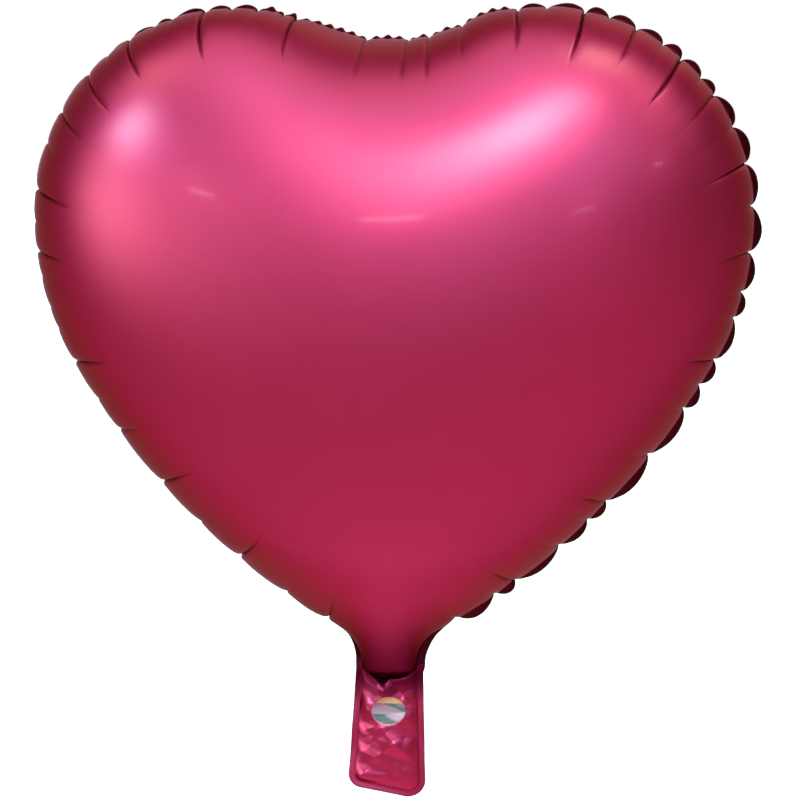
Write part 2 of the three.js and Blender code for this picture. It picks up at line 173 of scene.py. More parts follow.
def pillowHeight(spec, points, rim):
    # Height of the inflated film over the seam plane: the square root of the product of two sums
    # over the rim's edges as seen from a point, one like its distance to the rim and one like the
    # room around it, held back where the throat is gathered.
    height = np.zeros(len(points))
    ahead = np.roll(rim, -1, 0)
    for part in np.array_split(np.arange(len(points)), max(1, len(points) // 4000)):
        a = rim[None] - points[part, None]
        b = ahead[None] - points[part, None]
        cross = a[..., 0] * b[..., 1] - a[..., 1] * b[..., 0]
        dot = (a * b).sum(-1)
        nearness = ((1 / np.linalg.norm(a, axis=-1) + 1 / np.linalg.norm(b, axis=-1))
                    * cross / (np.hypot(cross, dot) + dot)).sum(1)
        edge = b - a
        length = np.linalg.norm(edge, axis=-1)
        away = cross / length
        away = np.where(np.abs(away) < 1e-9, 1e-9, away)
        reachB = np.arcsinh((b * edge).sum(-1) / length / away)
        reachA = np.arcsinh((a * edge).sum(-1) / length / away)
        room = (away * (reachB - reachA)).sum(1) / (2 * math.pi)
        height[part] = np.sqrt(np.abs(2 / nearness * room))
    gathered = smooth(points[:, 1], rimBox[0].z, spec["throatReach"])
    return spec["plumpness"] * height * (spec["throatPinch"] + (1 - spec["throatPinch"]) * gathered)


# Every place where the seam is drawn in, in order round the seam: place, reach, depth and cluster.
drawnIn = [[place * mm % seamLength, reach * mm, depth * mm, gather["creaseCluster"]]
           for place, reach, depth, way in creases]
drawnIn += [[place * mm % seamLength, 0, depth * mm, gather["notchCluster"]] for place, depth in notches]
drawnIn = np.array(sorted(drawnIn))


def seamGap(place):
    # Distances along the seam from every drawn-in place to every given place, the short way round.
    gap = place[None] - drawnIn[:, 0][:, None]
    return (gap + halfSeam) % seamLength - halfSeam


def columnPlaces(count):
    # Column places along the seam, closer together where it is drawn in.
    fine = np.linspace(0, seamLength, 12000, endpoint=False)
    density = 1 + (drawnIn[:, 3][:, None] * np.exp(-np.abs(seamGap(fine)) / gather["clusterWidth"])).sum(0)
    total = np.concatenate([[0], np.cumsum(density)])
    return np.interp(np.arange(count) / count * total[-1], total, np.append(fine, seamLength))


def billowShare(place):
    # Where each place lies between its two drawn-in neighbours, from 0 to 1, how far apart they
    # are, and the number of the upper one.
    after = np.searchsorted(drawnIn[:, 0], place)
    low = drawnIn[after - 1, 0] - np.where(after == 0, seamLength, 0)
    upper = after % len(drawnIn)
    high = drawnIn[upper, 0] + np.where(after == len(drawnIn), seamLength, 0)
    return (place - low) / (high - low), high - low, upper


def rimShift(place, rise, depthIn):
    # How far the film stands out along its normal: a billow between two drawn-in places that dies
    # away with the distance from the seam, less a sharp valley with one gentler side for each
    # crease, beside a low ridge, which ends at the crease's reach.
    share, spacing, _ = billowShare(place)
    size = np.clip(spacing / gather["billowSpan"], 0.35, 1.15)
    shift = gather["billow"] * size * (4 * share * (1 - share)) ** 0.6 * np.exp(-rise / gather["billowFade"])
    for (_, reach, depth, _), along in zip(drawnIn, seamGap(place)):
        width = np.where(along < 0, gather["valleyWidth"], gather["tuckWidth"])
        beside = (along + gather["ridgeOffset"]) / gather["ridgeWidth"]
        across = np.exp(-np.abs(along) / width) - gather["ridge"] * np.exp(-beside ** 2)
        length = reach if reach else gather["notchReach"]
        fade = np.clip(1 - depthIn / length, 0, 1) ** (0.6 if reach else 1.2)
        shift = shift - depth * across * fade
    return shift


def creaseShade(place, depthIn):
    # How much painted shade a crease puts in its own valley: a bell across it that ends at the crease's
    # reach.
    shade = np.zeros(depthIn.shape)
    for (_, reach, depth, _), along in zip(drawnIn, seamGap(place)):
        length = reach if reach else gather["notchReach"]
        bell = gather["shade"] * np.exp(-(along / gather["shadeWidth"]) ** 2)
        bell = bell * np.clip(1 - depthIn / length, 0, 1) ** 0.5
        shade = np.maximum(shade, bell * min(depth / gather["shadeDepth"], 1))
    return shade


places = columnPlaces(heart["columns"])
seamPoints, seamNormals = seamAt(places)
crown = np.array([0, heart["crownHeight"]])


def columnWays():
    # The way each column leaves the seam: the creases' own ways, and in between them the turn away
    # from the inward normal carried evenly from one crease to the next, with none at the neck.
    spots = np.array([place * mm for place, _, _, _ in creases])
    _, out = seamAt(spots)
    square = np.arctan2(-out[:, 1], -out[:, 0])
    lean = np.radians([way for _, _, _, way in creases]) - square
    lean = (lean + math.pi) % (2 * math.pi) - math.pi
    spots = np.append(spots, [throatPlace, -throatPlace, halfSeam]) % seamLength
    lean = np.append(lean, [0, 0, 0])
    order = np.argsort(spots)
    straight = np.arctan2(-seamNormals[:, 1], -seamNormals[:, 0])
    return straight + np.interp(places, spots[order], lean[order], period=seamLength)


def columnCurves(spec, shares):
    # Plan positions of the grid: each column leaves the seam in its own way and bends to the crown,
    # as a curve with one knee. Where the heart is narrow the knee stays short of the middle.
    way = columnWays()
    inward = np.stack([np.cos(way), np.sin(way)], 1)
    reach = np.minimum(spec["kneeShare"] * np.linalg.norm(seamPoints - crown, axis=1), spec["kneeReach"])
    slant = np.maximum(np.abs(inward[:, 0]), 0.3)
    room = spec["narrowRoom"] + spec["narrowShare"] * np.abs(seamPoints[:, 0]) / slant
    wide = smooth(seamPoints[:, 1], spec["narrowLow"], spec["narrowHigh"])
    reach = np.minimum(reach, room) * (1 - wide) + reach * wide
    knee = seamPoints + inward * reach[:, None]
    s = shares[:, None, None]
    return (1 - s) ** 2 * seamPoints + 2 * s * (1 - s) * knee + s ** 2 * crown


def gridNormals(grid, wraps):
    # Cross product of the steps along the columns and along the rows.
    if wraps:
        across = np.roll(grid, -1, 1) - np.roll(grid, 1, 1)
    else:
        across = np.gradient(grid, axis=1)
    along = np.gradient(grid, axis=0)
    normal = np.cross(across, along)
    return normal / np.maximum(np.linalg.norm(normal, axis=2), 1e-12)[..., None]


def gatheredAt(grid, level, run, most):
    # How much painted shade the film gets near the neck's root, standing in for the heart's overhang shading
    # it, by its height there.
    return most * (1 - smooth(np.abs(grid[..., 2] - level), 0, run))


def panelShape(plan, height, side):
    # One panel's skin, its rows running from the seam to the crown, and its painted shade: the inflated
    # surface moved along its normal by the billows and creases.
    grid = np.stack([plan[..., 0], side * height, plan[..., 1]], -1)
    outward = gridNormals(grid, True) * side
    seamOut = np.stack([seamNormals[:, 0], np.zeros(len(places)), seamNormals[:, 1]], -1)
    outward[0] = seamOut
    outward[1] = outward[1] + seamOut
    outward[1] /= np.linalg.norm(outward[1], axis=1)[:, None]
    outward[-1] = [0, side, 0]
    rise = np.linalg.norm(grid - grid[:1], axis=2)
    depthIn = np.linalg.norm(plan - plan[:1], axis=2)
    # Painted shade: dark lines down the creases and notches, and darkening of the heart's tip near the neck's
    # root.
    shade = np.maximum(creaseShade(places, depthIn), gatheredAt(grid, *heart["gathered"]))
    return grid + outward * rimShift(places, rise, depthIn)[..., None], shade


def meshFromArrays(name, points, faces, attributes=None):
    # A smooth mesh object from corner points and faces, with a number at each point for an attribute.
    mesh = bpy.data.meshes.new(name)
    mesh.from_pydata(points.tolist(), [], faces)
    mesh.polygons.foreach_set("use_smooth", np.ones(len(mesh.polygons), bool))
    for label, values in (attributes or {}).items():
        mesh.attributes.new(label, "FLOAT", "POINT").data.foreach_set("value", values.astype(np.float32))
    mesh.update()
    piece = bpy.data.objects.new(name, mesh)
    bpy.context.scene.collection.objects.link(piece)
    return piece


def cells(rows, columns, wraps, start):
    # Corner numbers of a grid's cells.
    row = np.arange(rows - 1)[:, None] * columns + start
    left = np.arange(columns if wraps else columns - 1)[None]
    right = (left + 1) % columns
    return np.stack([row + left, row + right, row + columns + right, row + columns + left], -1).reshape(-1, 4)


def filmPiece(name, grid, thickness, wraps=True, pole=False, turn=1, lining=1.0, shade=None):
    # A film of two skins: the grid itself and a copy moved in by the thickness, joined round the
    # free edges. With a pole the last row is one point. A turn of -1 swaps inside and outside.
    normal = gridNormals(grid, wraps) * turn
    if pole:
        normal[-1] = normal[-2].mean(0)
        normal[-1] /= np.linalg.norm(normal[-1], axis=1)[:, None]
    rows, columns = grid.shape[:2]
    body = rows - 1 if pole else rows
    count = body * columns + (1 if pole else 0)
    points, faces = [], []
    for number, skin in enumerate((grid, grid - normal * thickness)):
        start = number * count
        points.append(skin[:body].reshape(-1, 3))
        cover = [cells(body, columns, wraps, start)]
        if pole:
            points.append(skin[-1, :1])
            ring = start + (body - 1) * columns + np.arange(columns)
            cover.append(np.stack([ring, np.roll(ring, -1), np.full(columns, start + count - 1)], -1))
        flip = (number == 0) == (turn < 0)
        for part in cover:
            faces += (part[:, ::-1] if flip else part).tolist()
    index = np.arange(body * columns).reshape(body, columns)
    if wraps:
        edges = [index[0]] if pole else [index[0], index[-1][::-1]]
    else:
        edges = [np.concatenate([index[0], index[1:, -1], index[-1, -2::-1], index[-2:0:-1, 0]])]
    for edge in edges:
        ahead = np.roll(edge, -1)
        band = np.stack([ahead, edge, edge + count, ahead + count], -1)
        faces += (band if turn > 0 else band[:, ::-1]).tolist()
    inside = np.repeat([0.0, lining], count)
    inside[count:count + columns] = 0
    points = np.concatenate(points)
    dark = np.zeros(count) if shade is None else shade.reshape(-1)[:count]
    return meshFromArrays(name, points, faces, {"inside": inside, "shade": np.tile(dark, 2)})


class Value:
    # A shader socket that reads like a number.
    def __init__(self, graph, socket):
        self.graph = graph
        self.socket = socket

    def maths(self, operation, first, second):
        return self.graph.node("ShaderNodeMath", {"operation": operation}, {0: first, 1: second})

    def __add__(self, other):
        return self.maths("ADD", self, other)

    def __radd__(self, other):
        return self.maths("ADD", other, self)

    def __sub__(self, other):
        return self.maths("SUBTRACT", self, other)

    def __rsub__(self, other):
        return self.maths("SUBTRACT", other, self)

    def __mul__(self, other):
        return self.maths("MULTIPLY", self, other)

    def __rmul__(self, other):
        return self.maths("MULTIPLY", other, self)


class Graph:
    # Adds nodes to a material's or a world's tree.
    def __init__(self, owner):
        owner.use_nodes = True
        self.tree = owner.node_tree
        self.tree.nodes.clear()

    def node(self, kind, settings=None, inputs=None, output=0):
        # Makes a node, sets its own settings first and then its sockets, and gives one output.
        made = self.tree.nodes.new(kind)
        for key, value in (settings or {}).items():
            setattr(made, key, value)
        for key, value in (inputs or {}).items():
            if isinstance(value, Value):
                self.tree.links.new(value.socket, made.inputs[key])
            else:
                made.inputs[key].default_value = value
        return Value(self, made.outputs[output]) if made.outputs else None

    def noise(self, scale, detail, stretch=(1, 1, 1)):
        # Noise on the object's own coordinates, which are metres.
        place = self.node("ShaderNodeTexCoord", output="Object")
        place = self.node("ShaderNodeMapping", {}, {"Vector": place, "Scale": stretch})
        return self.node("ShaderNodeTexNoise", {}, {"Vector": place, "Scale": scale, "Detail": detail,
                                                  "Roughness": 0.55})

    def maximum(self, first, second):
        return self.node("ShaderNodeMath", {"operation": "MAXIMUM"}, {0: first, 1: second})

    def mixColour(self, share, first, second):
        return self.node("ShaderNodeMix", {"data_type": "RGBA"}, {0: share, 6: first, 7: second}, 2)

    def surface(self, inputs):
        made = self.node("ShaderNodeBsdfPrincipled", {}, inputs)
        self.node("ShaderNodeOutputMaterial", {}, {"Surface": made})


# Satin lacquer over metallised film outside. The lining inside is tinted, to read as silver under
# this studio's greenish glows; its dark pink is also painted shade and painted crimson reflection
# inside the fill hole. The near-black seam colours are painted shade on the welded margin, and the
# shaded colour is the painted shade of the creases and of the neck's root.
foil = {
    "crimson": (0.33, 0.0135, 0.051, 1), "deep": (0.30, 0.010, 0.042, 1), "lining": (0.38, 0.12, 0.18, 1),
    "seam": (0.060, 0.0015, 0.010, 1), "seamDeep": (0.030, 0.001, 0.005, 1),
    "shaded": (0.05, 0.0006, 0.008, 1), "edgeTint": (0.50, 0.05, 0.14, 1),
    "mottleScale": 20, "grainScale": 900, "crinkleScale": 260, "coat": 0.2,
}


def foilMaterial(name, light, deep, roughness, coatRoughness, crinkle, coat):
    # A slow mottle changes colour and roughness a little, a fine grain breaks the gloss, and
    # crinkle adds small wrinkles. The inside attribute turns the film to its lining, and the shade
    # one paints shade: it darkens the colour and takes away the coat in the creases and at the
    # neck's root, where the heart's tip overhangs the neck.
    material = bpy.data.materials.new(name)
    graph = Graph(material)
    mottle = graph.noise(foil["mottleScale"], 3)
    grain = graph.noise(foil["grainScale"], 2)
    crinkles = graph.noise(foil["crinkleScale"], 3)
    inside = graph.node("ShaderNodeAttribute", {"attribute_name": "inside"}, {}, "Fac")
    shade = graph.node("ShaderNodeAttribute", {"attribute_name": "shade"}, {}, "Fac")
    # Painted shade: where the shade attribute is high the colour turns near black.
    outer = graph.mixColour(shade, graph.mixColour(mottle, deep, light), foil["shaded"])
    colour = graph.mixColour(inside, outer, foil["lining"])
    bump = graph.node("ShaderNodeBump", {}, {"Height": grain * 0.05 + crinkles * crinkle, "Strength": 0.35,
                                             "Distance": 0.4 * mm})
    graph.surface({
        "Base Color": colour, "Roughness": roughness + 0.05 * (mottle - 0.5) + 0.05 * (grain - 0.5),
        # The coat is taken away in the painted shade too.
        "Metallic": 1, "Specular Tint": foil["edgeTint"], "Coat Weight": coat * (1 - shade),
        "Coat Roughness": coatRoughness, "Normal": bump,
    })
    return material


film = {"clear": (0.60, 0.60, 0.62, 1), "cloudy": (0.45, 0.47, 0.50, 1), "alpha": 0.03, "cloudAlpha": 0.07}
ink = {"thick": (0.85, 0.13, 0.01, 1), "thin": (0.92, 0.24, 0.03, 1)}


def clearMaterial(name):
    # Thin clear film: mostly see-through, glossy, with faint cloudy streaks.
    material = bpy.data.materials.new(name)
    graph = Graph(material)
    cloud = graph.noise(90, 3, (1, 1, 0.3))
    bump = graph.node("ShaderNodeBump", {}, {"Height": graph.noise(180, 2, (1, 1, 0.4)), "Strength": 0.5,
                                             "Distance": 0.3 * mm})
    graph.surface({
        "Base Color": graph.mixColour(cloud, film["clear"], film["cloudy"]),
        "Roughness": 0.08 + 0.10 * cloud, "Alpha": film["alpha"] + film["cloudAlpha"] * cloud,
        "Specular IOR Level": 0.3, "Normal": bump,
    })
    return material


def inkMaterial(name):
    # Printed ink: matt, a little uneven, thinner in places.
    material = bpy.data.materials.new(name)
    graph = Graph(material)
    patch = graph.noise(240, 3)
    bump = graph.node("ShaderNodeBump", {}, {"Height": graph.noise(1500, 2), "Strength": 0.3,
                                             "Distance": 0.1 * mm})
    graph.surface({
        "Base Color": graph.mixColour(patch, ink["thick"], ink["thin"]),
        "Roughness": 0.42 + 0.2 * patch, "Normal": bump,
    })
    return material


crimsonFoil = foilMaterial("crimsonFoil", foil["crimson"], foil["deep"], 0.30, 0.08, 0.0, foil["coat"])
# The welded margin's near-black colour is painted shade.
seamFoil = foilMaterial("seamFoil", foil["seam"], foil["seamDeep"], 0.24, 0.12, 0.5, 0.05)
neckFoil = foilMaterial("neckFoil", foil["crimson"], foil["deep"], 0.20, 0.12, 0.35, foil["coat"])
clearFilm = clearMaterial("clearFilm")
orangeInk = inkMaterial("orangeInk")
print("materials made")


def dress(piece, material, slot, body, *nodes):
    # Gives a new piece its material and its body, and hides the CAD nodes it stands for. The slot is not
    # used.
    piece.data.materials.append(material)
    if body:
        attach(piece, body)
    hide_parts(*nodes)


shares = 1 - np.cos(math.pi / 2 * np.arange(heart["rings"] + 1) / heart["rings"])
plan = columnCurves(heart, shares)
plan[-1] = crown
heightRim = seamAt(np.linspace(0, seamLength, heart["heightEdges"], endpoint=False))[0]
height = np.zeros(plan.shape[:2])
height[1:-1] = pillowHeight(heart, plan[1:-1].reshape(-1, 2), heightRim).reshape(len(plan) - 2, -1)
height[-1] = pillowHeight(heart, crown[None], heightRim)[0]
print("pillow height worked out, deepest", round(float(height.max()), 4), "m")

for name, side, node in (("frontPanelFoil", -1, "front_panel"), ("backPanelFoil", 1, "back_panel")):
    grid, shade = panelShape(plan, height, side)
    panel = filmPiece(name, grid, heart["filmThickness"], pole=True, turn=side, shade=shade)
    dress(panel, crimsonFoil, "crimson_foil", "envelope", node)
print("panels made")

# The welded margin behind the panels' rim. Its lean from the seam's plane to the back is given in
# degrees at places along the seam in millimetres, as it stands in the middle of a scallop.
fin = {
    "width": 6.5 * mm, "throatWidth": 4.6 * mm, "throatRun": 30 * mm, "pastThroat": 2.6 * mm,
    "notchWidth": 0.5, "notchLean": 92, "root": -0.7 * mm, "thickness": 0.3 * mm,
    "columns": 1500, "rows": 7, "skewLow": 0.8, "skewHigh": 1.35, "roundness": 0.6,
    "curl": 0.3, "rippleLength": 6.4 * mm, "rippleTurn": 11, "rippleRun": 62 * mm,
    "rippleFade": 12 * mm, "seed": 11,
}
finLeans = [(-590, 0), (-560, 30), (-530, 72), (-420, 84), (-330, 86), (-230, 82), (-150, 72), (-90, 62),
            (-66, 66), (-50, 76), (50, 76), (68, 62), (130, 55), (330, 50), (500, 50), (560, 26), (590, 0)]


def finShape(spec):
    # Rows from the rim outwards. Between two drawn-in places the margin opens in a rounded arch, a
    # little skewed, and it lies flat against the back at the drawn-in places.
    end = throatPlace + spec["pastThroat"]
    place = np.linspace(end, -end, spec["columns"])
    around = place % seamLength
    share, _, upper = billowShare(around)
    random = np.random.default_rng(spec["seed"])
    skewed = share ** random.uniform(spec["skewLow"], spec["skewHigh"], len(drawnIn))[upper]
    size = random.uniform(0.8, 1.0, len(drawnIn))[upper]
    opening = (4 * skewed * (1 - skewed)) ** spec["roundness"] * size
    toEnd = throatPlace - np.abs(place)
    atThroat = 1 - smooth(toEnd, 0, spec["throatRun"])
    opening = opening * (1 - atThroat) + atThroat
    leanPlaces, leans = np.array(finLeans, float).T
    openLean = np.interp(place, leanPlaces * mm, leans)
    lean = spec["notchLean"] + (openLean - spec["notchLean"]) * opening
    ripple = 1 - smooth(np.abs(place), spec["rippleRun"], spec["rippleRun"] + spec["rippleFade"])
    lean = lean + spec["rippleTurn"] * ripple * np.sin(2 * math.pi * place / spec["rippleLength"])
    width = spec["width"] + (spec["throatWidth"] - spec["width"]) * atThroat
    width = width * (spec["notchWidth"] + (1 - spec["notchWidth"]) * opening)
    point, out = seamAt(around)
    point = point + out * (rimShift(around, 0, 0) + spec["root"])[:, None]
    step = np.linspace(0, 1, spec["rows"])[:, None]
    turn = np.radians(lean) * (1 - spec["curl"] * (1 - step))
    flat = width * step * np.cos(turn)
    back = width * step * np.sin(turn)
    return np.stack([point[:, 0] + flat * out[:, 0], back, point[:, 1] + flat * out[:, 1]], -1)


seamFin = filmPiece("seamFin", finShape(fin), fin["thickness"], wraps=False, lining=0.0)
dress(seamFin, seamFoil, "seam_foil", "envelope", "perimeter_seal")
print("seam fin made")

# The neck seen from the front: a flat tail cut a little askew, with an oval fill hole.
neck = {
    "topHalfWidth": 17.8 * mm, "topRise": 0.5 * mm, "underRim": 0.6 * mm, "tipInset": 2.2 * mm,
    "askew": -1.6 * mm, "bottomDrop": 1.5 * mm, "bottomSlope": -0.2, "leftCorner": 7.5 * mm,
    "rightCorner": 9.5 * mm, "holeDrop": 15 * mm, "holeHalfWidth": 9 * mm, "holeHalfHeight": 7.25 * mm,
    "margin": 3.4 * mm, "frontPuff": 5.0 * mm, "backPuff": 2.8 * mm, "puffRun": 6 * mm,
    "rootRun": 3 * mm, "filmGap": 0.12 * mm, "thickness": 0.2 * mm, "holeLip": 0.5 * mm,
    "columns": 280, "rows": 60, "marginWave": 0.5 * mm, "endBow": 1.6 * mm,
    # Painted shade at the top of the neck, under the heart's overhang: its level, its run and how dark it
    # gets at most; then the darkening along the weld line and its width.
    "gathered": (4 * mm, 21 * mm, 0.95), "weldShade": 0.55, "weldLine": 0.5 * mm,
    "flatSize": (42 * mm, 69 * mm), "flatArea": 0.0026,
}
# Large folds of the front film: middle x and z, turn in degrees, half length, height, half width.
neckFolds = [
    (-12, -15, 160, 9, 2.4, 7.0), (12, -18, 12, 8, 2.2, 6.0), (-1, -36, 38, 16, 2.6, 7.5),
    (8, -45, 48, 13, -1.6, 6.0), (-13, -26, 20, 7, 1.3, 4.0), (-3.5, -3.5, 110, 5, 1.2, 2.4),
    (6, -5, 30, 9, -1.4, 5.0), (-6, -53, -14, 12, 1.8, 4.5), (12, -32, 75, 9, 1.3, 4.0),
]
# Crumples all over the neck: wavelength in millimetres, turn in degrees, height in millimetres.
neckCrumples = [(27, 32, 1.4), (19, -58, 0.9), (13, 72, 0.55)]


def cornerArc(before, corner, after, radius, steps=14):
    # Points of the arc of a given radius that rounds a corner between two straight edges.
    before, corner, after = (np.array(point) for point in (before, corner, after))
    first = (before - corner) / np.linalg.norm(before - corner)
    second = (after - corner) / np.linalg.norm(after - corner)
    half = math.acos(first @ second) / 2
    bisector = (first + second) / np.linalg.norm(first + second)
    centre = corner + bisector * radius / math.sin(half)
    start = corner + first * radius / math.tan(half) - centre
    end = corner + second * radius / math.tan(half) - centre
    startTurn = math.atan2(start[1], start[0])
    sweep = (math.atan2(end[1], end[0]) - startTurn + math.pi) % (2 * math.pi) - math.pi
    turn = startTurn + sweep * np.linspace(0, 1, steps)
    return centre + radius * np.stack([np.cos(turn), np.sin(turn)], -1)


def evenly(line, count):
    # The same closed line with its points at equal distances.
    line = np.vstack([line, line[:1]])
    run = np.concatenate([[0], np.cumsum(np.linalg.norm(np.diff(line, axis=0), axis=1))])
    at = np.arange(count) / count * run[-1]
    return np.stack([np.interp(at, run, line[:, 0]), np.interp(at, run, line[:, 1])], -1)


def neckOutline(spec):
    # The top edge along the envelope's tip, then clockwise seen from the front; also the part of
    # it that is welded.
    leftX, rightX = neckBox[0].x + spec["askew"], neckBox[1].x + spec["askew"]
    bottomZ = neckBox[0].z - spec["bottomDrop"]
    topZ = throatZ + spec["topRise"]
    leftTop, rightTop = (-spec["topHalfWidth"], topZ), (spec["topHalfWidth"], topZ)
    leftEnd = (leftX, bottomZ + leftX * spec["bottomSlope"])
    rightEnd = (rightX, bottomZ + rightX * spec["bottomSlope"])
    inset = throatPlace + spec["tipInset"]
    tip, out = seamAt(np.linspace(seamLength - inset, inset, 40))
    tip = tip - out * spec["underRim"]
    welded = np.vstack([[rightTop], cornerArc(rightTop, rightEnd, leftEnd, spec["rightCorner"]),
                        cornerArc(rightEnd, leftEnd, leftTop, spec["leftCorner"]), [leftTop]])
    return np.vstack([tip, welded]), welded, tip


def alongLine(line, step):
    # Points at small steps on an open line.
    run = np.concatenate([[0], np.cumsum(np.linalg.norm(np.diff(line, axis=0), axis=1))])
    at = np.linspace(0, run[-1], int(run[-1] / step))
    return np.stack([np.interp(at, run, line[:, 0]), np.interp(at, run, line[:, 1])], -1)


neckLine, neckWelded, neckTip = neckOutline(neck)
weldPoints = alongLine(neckWelded, 0.5 * mm)
tipPoints = alongLine(neckTip, 0.5 * mm)
hole = np.array([0, -neck["holeDrop"]])


def distanceTo(points, line):
    # Distance from every point to the nearest point of a line.
    flat = points.reshape(-1, 2)
    return np.linalg.norm(flat[:, None] - line[None], axis=2).min(1).reshape(points.shape[:-1])


def neckDepth(spec, points, side):
    # How far one film of the neck stands off the seam plane: nothing in the welded margin, a puff
    # inside it, and on that the large folds and the crumples, which are triangular waves.
    inside = np.maximum(distanceTo(points, weldPoints) - spec["margin"], 0)
    below = distanceTo(points, tipPoints)
    free = (1 - np.exp(-inside / spec["puffRun"])) * (1 - np.exp(-below / spec["rootRun"]))
    x, z = points[..., 0], points[..., 1]
    depth = (spec["frontPuff"] if side < 0 else spec["backPuff"]) * free
    for number, (length, turn, high) in enumerate(neckCrumples):
        angle = math.radians(turn * (1 if side < 0 else -1.2))
        phase = (x * math.cos(angle) + z * math.sin(angle)) / (length * mm) + 0.37 * number
        phase = phase + 0.16 * np.sin(2 * math.pi * (z / (31 * mm) + 0.2 * number + x / (44 * mm)))
        depth = depth + high * mm * (1 - 2 * np.abs(2 * (phase % 1) - 1)) * free
    if side < 0:
        for middleX, middleZ, turn, half, high, wide in neckFolds:
            angle = math.radians(turn)
            along = (x / mm - middleX) * math.cos(angle) + (z / mm - middleZ) * math.sin(angle)
            across = (z / mm - middleZ) * math.cos(angle) - (x / mm - middleX) * math.sin(angle)
            fold = np.clip(1 - np.abs(across) / wide, 0, 1) * np.clip(1 - (along / half) ** 2, 0, 1)
            depth = depth + high * mm * fold * free
    return spec["filmGap"] + np.maximum(depth, 0)


def neckBow(spec, points):
    # Shared bend of both films: the end of the tail bows, and the welded margin waves a little.
    x, z = points[..., 0], points[..., 1]
    low = smooth(-z, 34 * mm, 60 * mm)
    edge = 1 - smooth(distanceTo(points, weldPoints), 0, spec["margin"])
    wave = edge * np.sin(z / (4.5 * mm) + x / (9 * mm)) * smooth(-z, -2 * mm, 12 * mm)
    return spec["endBow"] * low * np.sin(x / (12 * mm) + 0.8) + spec["marginWave"] * wave


def neckFilmY(points, side):
    # Where one film of the neck lies from front to back: the shared bend and its own depth.
    return neckBow(neck, points) + side * neckDepth(neck, points, side)


def neckShade(spec, grid):
    # Painted shade at the top of the neck, under the heart's overhang, and darker lines along its weld line
    # and at its cut edge.
    inside = distanceTo(grid[..., [0, 2]], weldPoints)
    weld = np.exp(-((inside - spec["margin"]) / spec["weldLine"]) ** 2) + np.exp(-inside / spec["weldLine"])
    return np.maximum(gatheredAt(grid, *spec["gathered"]), spec["weldShade"] * np.minimum(weld, 1))


edge = evenly(neckLine, neck["columns"])
toward = (edge - hole) / np.array([neck["holeHalfWidth"], neck["holeHalfHeight"]])
holeRim = hole + (edge - hole) / np.linalg.norm(toward, axis=1)[:, None]
steps = np.linspace(0, 1, neck["rows"])[:, None, None]

frontPlan = edge + (holeRim - edge) * steps
lip = neck["holeLip"] * np.exp(-np.linalg.norm(frontPlan - holeRim, axis=2) / (1.2 * mm))
frontGrid = np.stack([frontPlan[..., 0], neckFilmY(frontPlan, -1) - lip, frontPlan[..., 1]], -1)
backPlan = edge + (hole - edge) * steps
backGrid = np.stack([backPlan[..., 0], neckFilmY(backPlan, 1), backPlan[..., 1]], -1)

frontPly = filmPiece("neckFrontFoil", frontGrid, neck["thickness"], turn=-1,
                     shade=neckShade(neck, frontGrid))
dress(frontPly, neckFoil, "neck_foil", None, "neck_front_ply", "neck_edge_seal")
backPly = filmPiece("neckBackFoil", backGrid, neck["thickness"], pole=True, turn=1,
                    shade=neckShade(neck, backGrid))
dress(backPly, neckFoil, "neck_foil", None, "neck_back_ply")
for piece in (frontPly, backPly):
    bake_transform(piece)
print("neck films made")

# Clear valve films. In the neck the front film ends in an arched lip across the fill hole, and the
# back film's tongue comes out through the hole and lies on the foil below it.
valve = {
    "thickness": 0.15 * mm, "columns": 48, "rows": 60, "frontStart": 0.45 * mm, "lipArch": 2.3 * mm,
    "lipRise": 1.6 * mm, "backStart": 0.45 * mm, "tongueDrop": 1.0 * mm, "tongueClear": 0.35 * mm,
    "tongueStart": 4 * mm, "rimRoom": 0.9 * mm, "wrinkle": 0.12 * mm, "sleeveGap": 0.25 * mm,
    "sleeveOpen": 0.7 * mm, "foilGap": 0.3 * mm,
}


def valveGrid(spec, low, high, depthAt, lowerEdge=None):
    # Rows down the film and columns across it; depthAt gives y from x and z, and lowerEdge lets
    # the bottom edge follow a curve.
    across = np.linspace(low[0], high[0], spec["columns"])[None]
    share = np.linspace(0, 1, spec["rows"])[:, None]
    bottom = low[1] if lowerEdge is None else lowerEdge(across)
    x = across + 0 * share
    z = high[1] + (bottom - high[1]) * share + 0 * across
    crinkle = spec["wrinkle"] * np.sin(x / (1.7 * mm) + np.sin(z / (6 * mm))) * np.sin(z / (9 * mm))
    return np.stack([x, depthAt(x, z) + crinkle, z], -1)


filmHalf = frontFilmBox[1].x
filmTop = frontFilmBox[1].z
mouthZ = frontFilmBox[0].z


def frontFilmDepth(x, z):
    # The film bows to the front towards its lip, most in the middle.
    opened = smooth(-z, -filmTop, -mouthZ)
    bowed = -valve["frontStart"] - valve["lipArch"] * opened * (1 - (x / filmHalf) ** 2)
    return np.maximum(bowed, neckFilmY(np.stack([x, z], -1), -1) + neck["thickness"] + valve["foilGap"])


def holeBottomAt(x):
    # Height of the hole's lower rim.
    return hole[1] - neck["holeHalfHeight"] * np.sqrt(np.clip(1 - (x / neck["holeHalfWidth"]) ** 2, 0, 1))


def tongueDepth(x, z):
    # The tongue leaves the back of the neck above the hole and is on the foil's front at its rim.
    out = smooth(-z, -hole[1] - valve["tongueStart"], -holeBottomAt(x) - valve["rimRoom"])
    outside = neckFilmY(np.stack([x, z], -1), -1) - neck["holeLip"] - valve["tongueClear"]
    return valve["backStart"] + (outside - valve["backStart"]) * out


def tongueEnd(x):
    # The tongue's lower edge is most of a half ellipse, a little below the hole's.
    drop = neck["holeHalfHeight"] + valve["tongueDrop"]
    return hole[1] - drop * np.sqrt(1 - (0.97 * x / filmHalf) ** 2)


def lipEdge(x):
    # The front film's lip rises towards its sides as a parabola.
    return mouthZ + valve["lipRise"] * (x / filmHalf) ** 2


